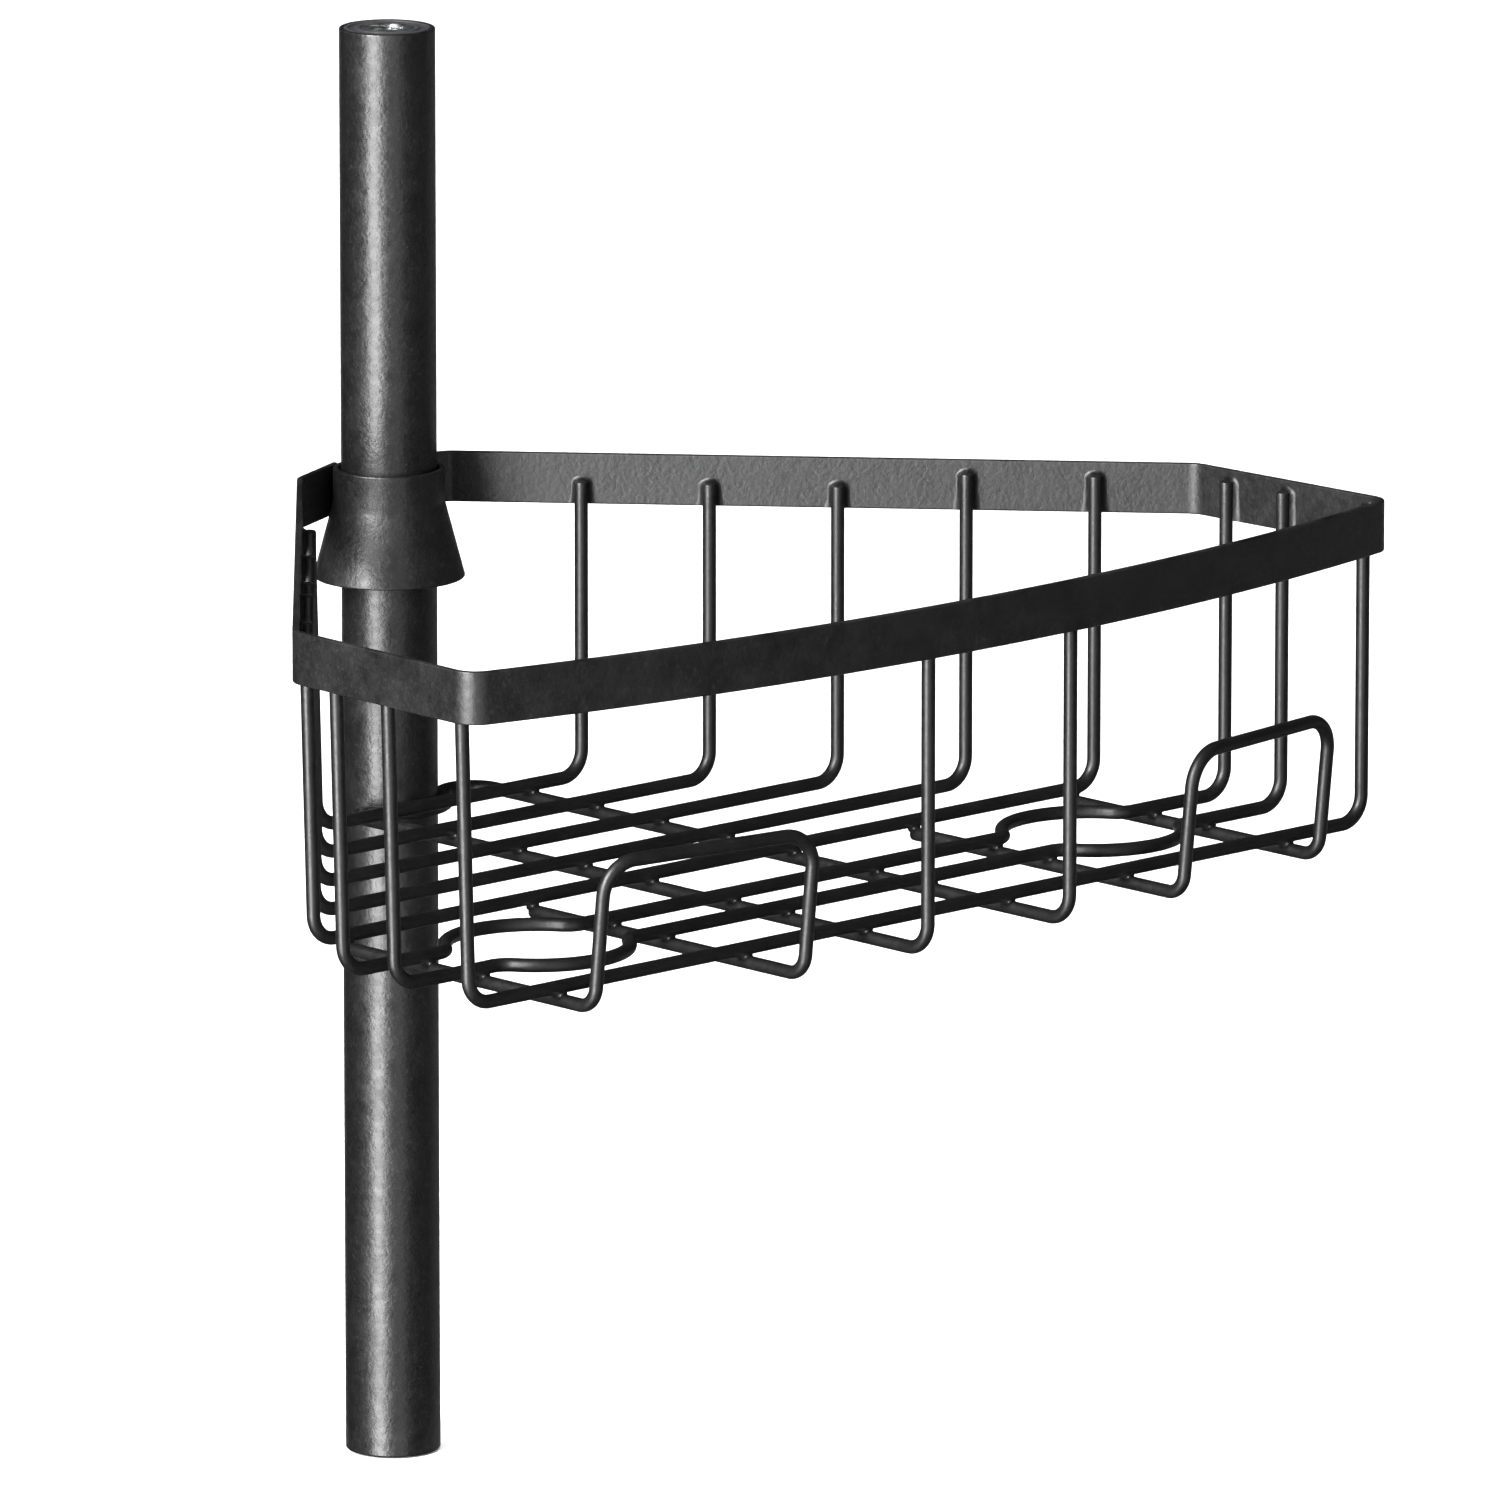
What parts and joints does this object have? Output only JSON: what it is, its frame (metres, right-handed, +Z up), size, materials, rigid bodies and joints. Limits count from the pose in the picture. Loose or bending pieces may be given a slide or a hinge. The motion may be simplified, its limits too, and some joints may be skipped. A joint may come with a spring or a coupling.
{
  "type": "corner shower caddy",
  "caption": "Corner shower caddy: a bow-fronted wire basket with a flat rim band, hung by a conical collar on a round tension pole section.",
  "frame": {"origin": "centre of the pole section's lower end face", "axes": "+Z up along the pole, the bowed front of the basket faces -Y, +X to the basket's right seen from the front"},
  "size_m": [0.3208, 0.2473, 0.379],
  "materials": {
    "pole_coat": "satin black powder coat on steel tube",
    "band_coat": "satin black powder coat on steel strip",
    "collar_coat": "satin black powder coat on spun steel",
    "wire_coat": "semi-gloss black powder coat on steel wire",
    "nylon": "moulded black nylon",
    "pad_rubber": "matte black rubber",
    "insert_zinc": "zinc-plated steel"
  },
  "bodies": {
    "pole": {"pole_tube": "pole_coat", "upper_plug": "nylon", "lower_plug": "nylon", "upper_insert": "insert_zinc", "lower_insert": "insert_zinc"},
    "grip": {"grip_pad_left": "pad_rubber", "grip_pad_right": "pad_rubber"},
    "clip": {"clip_half_left": "nylon", "clip_half_right": "nylon"},
    "basket": {"collar_cone": "collar_coat", "collar_weld": "collar_coat", "rim_band": "band_coat", "floor_wire_1": "wire_coat", "floor_wire_2": "wire_coat", "floor_wire_3": "wire_coat", "floor_wire_4": "wire_coat", "floor_wire_5": "wire_coat", "floor_wire_6": "wire_coat", "floor_wire_7": "wire_coat", "floor_wire_8": "wire_coat", "pole_loop_wire": "wire_coat", "guard_wire_left": "wire_coat", "guard_wire_right": "wire_coat"}
  },
  "joints": [
    {"name": "height_adjust", "type": "slide", "parent": "pole", "child": "grip", "axis": [0, 0, 1], "range_m": [-0.15, 0.07]},
    {"name": "swivel", "type": "hinge", "parent": "grip", "child": "clip", "pos_m": [0, 0, 0.24], "axis": [0, 0, 1], "continuous": true},
    {"name": "basket_lift", "type": "slide", "parent": "clip", "child": "basket", "axis": [0, 0, 1], "range_m": [0, 0.04]}
  ]
}
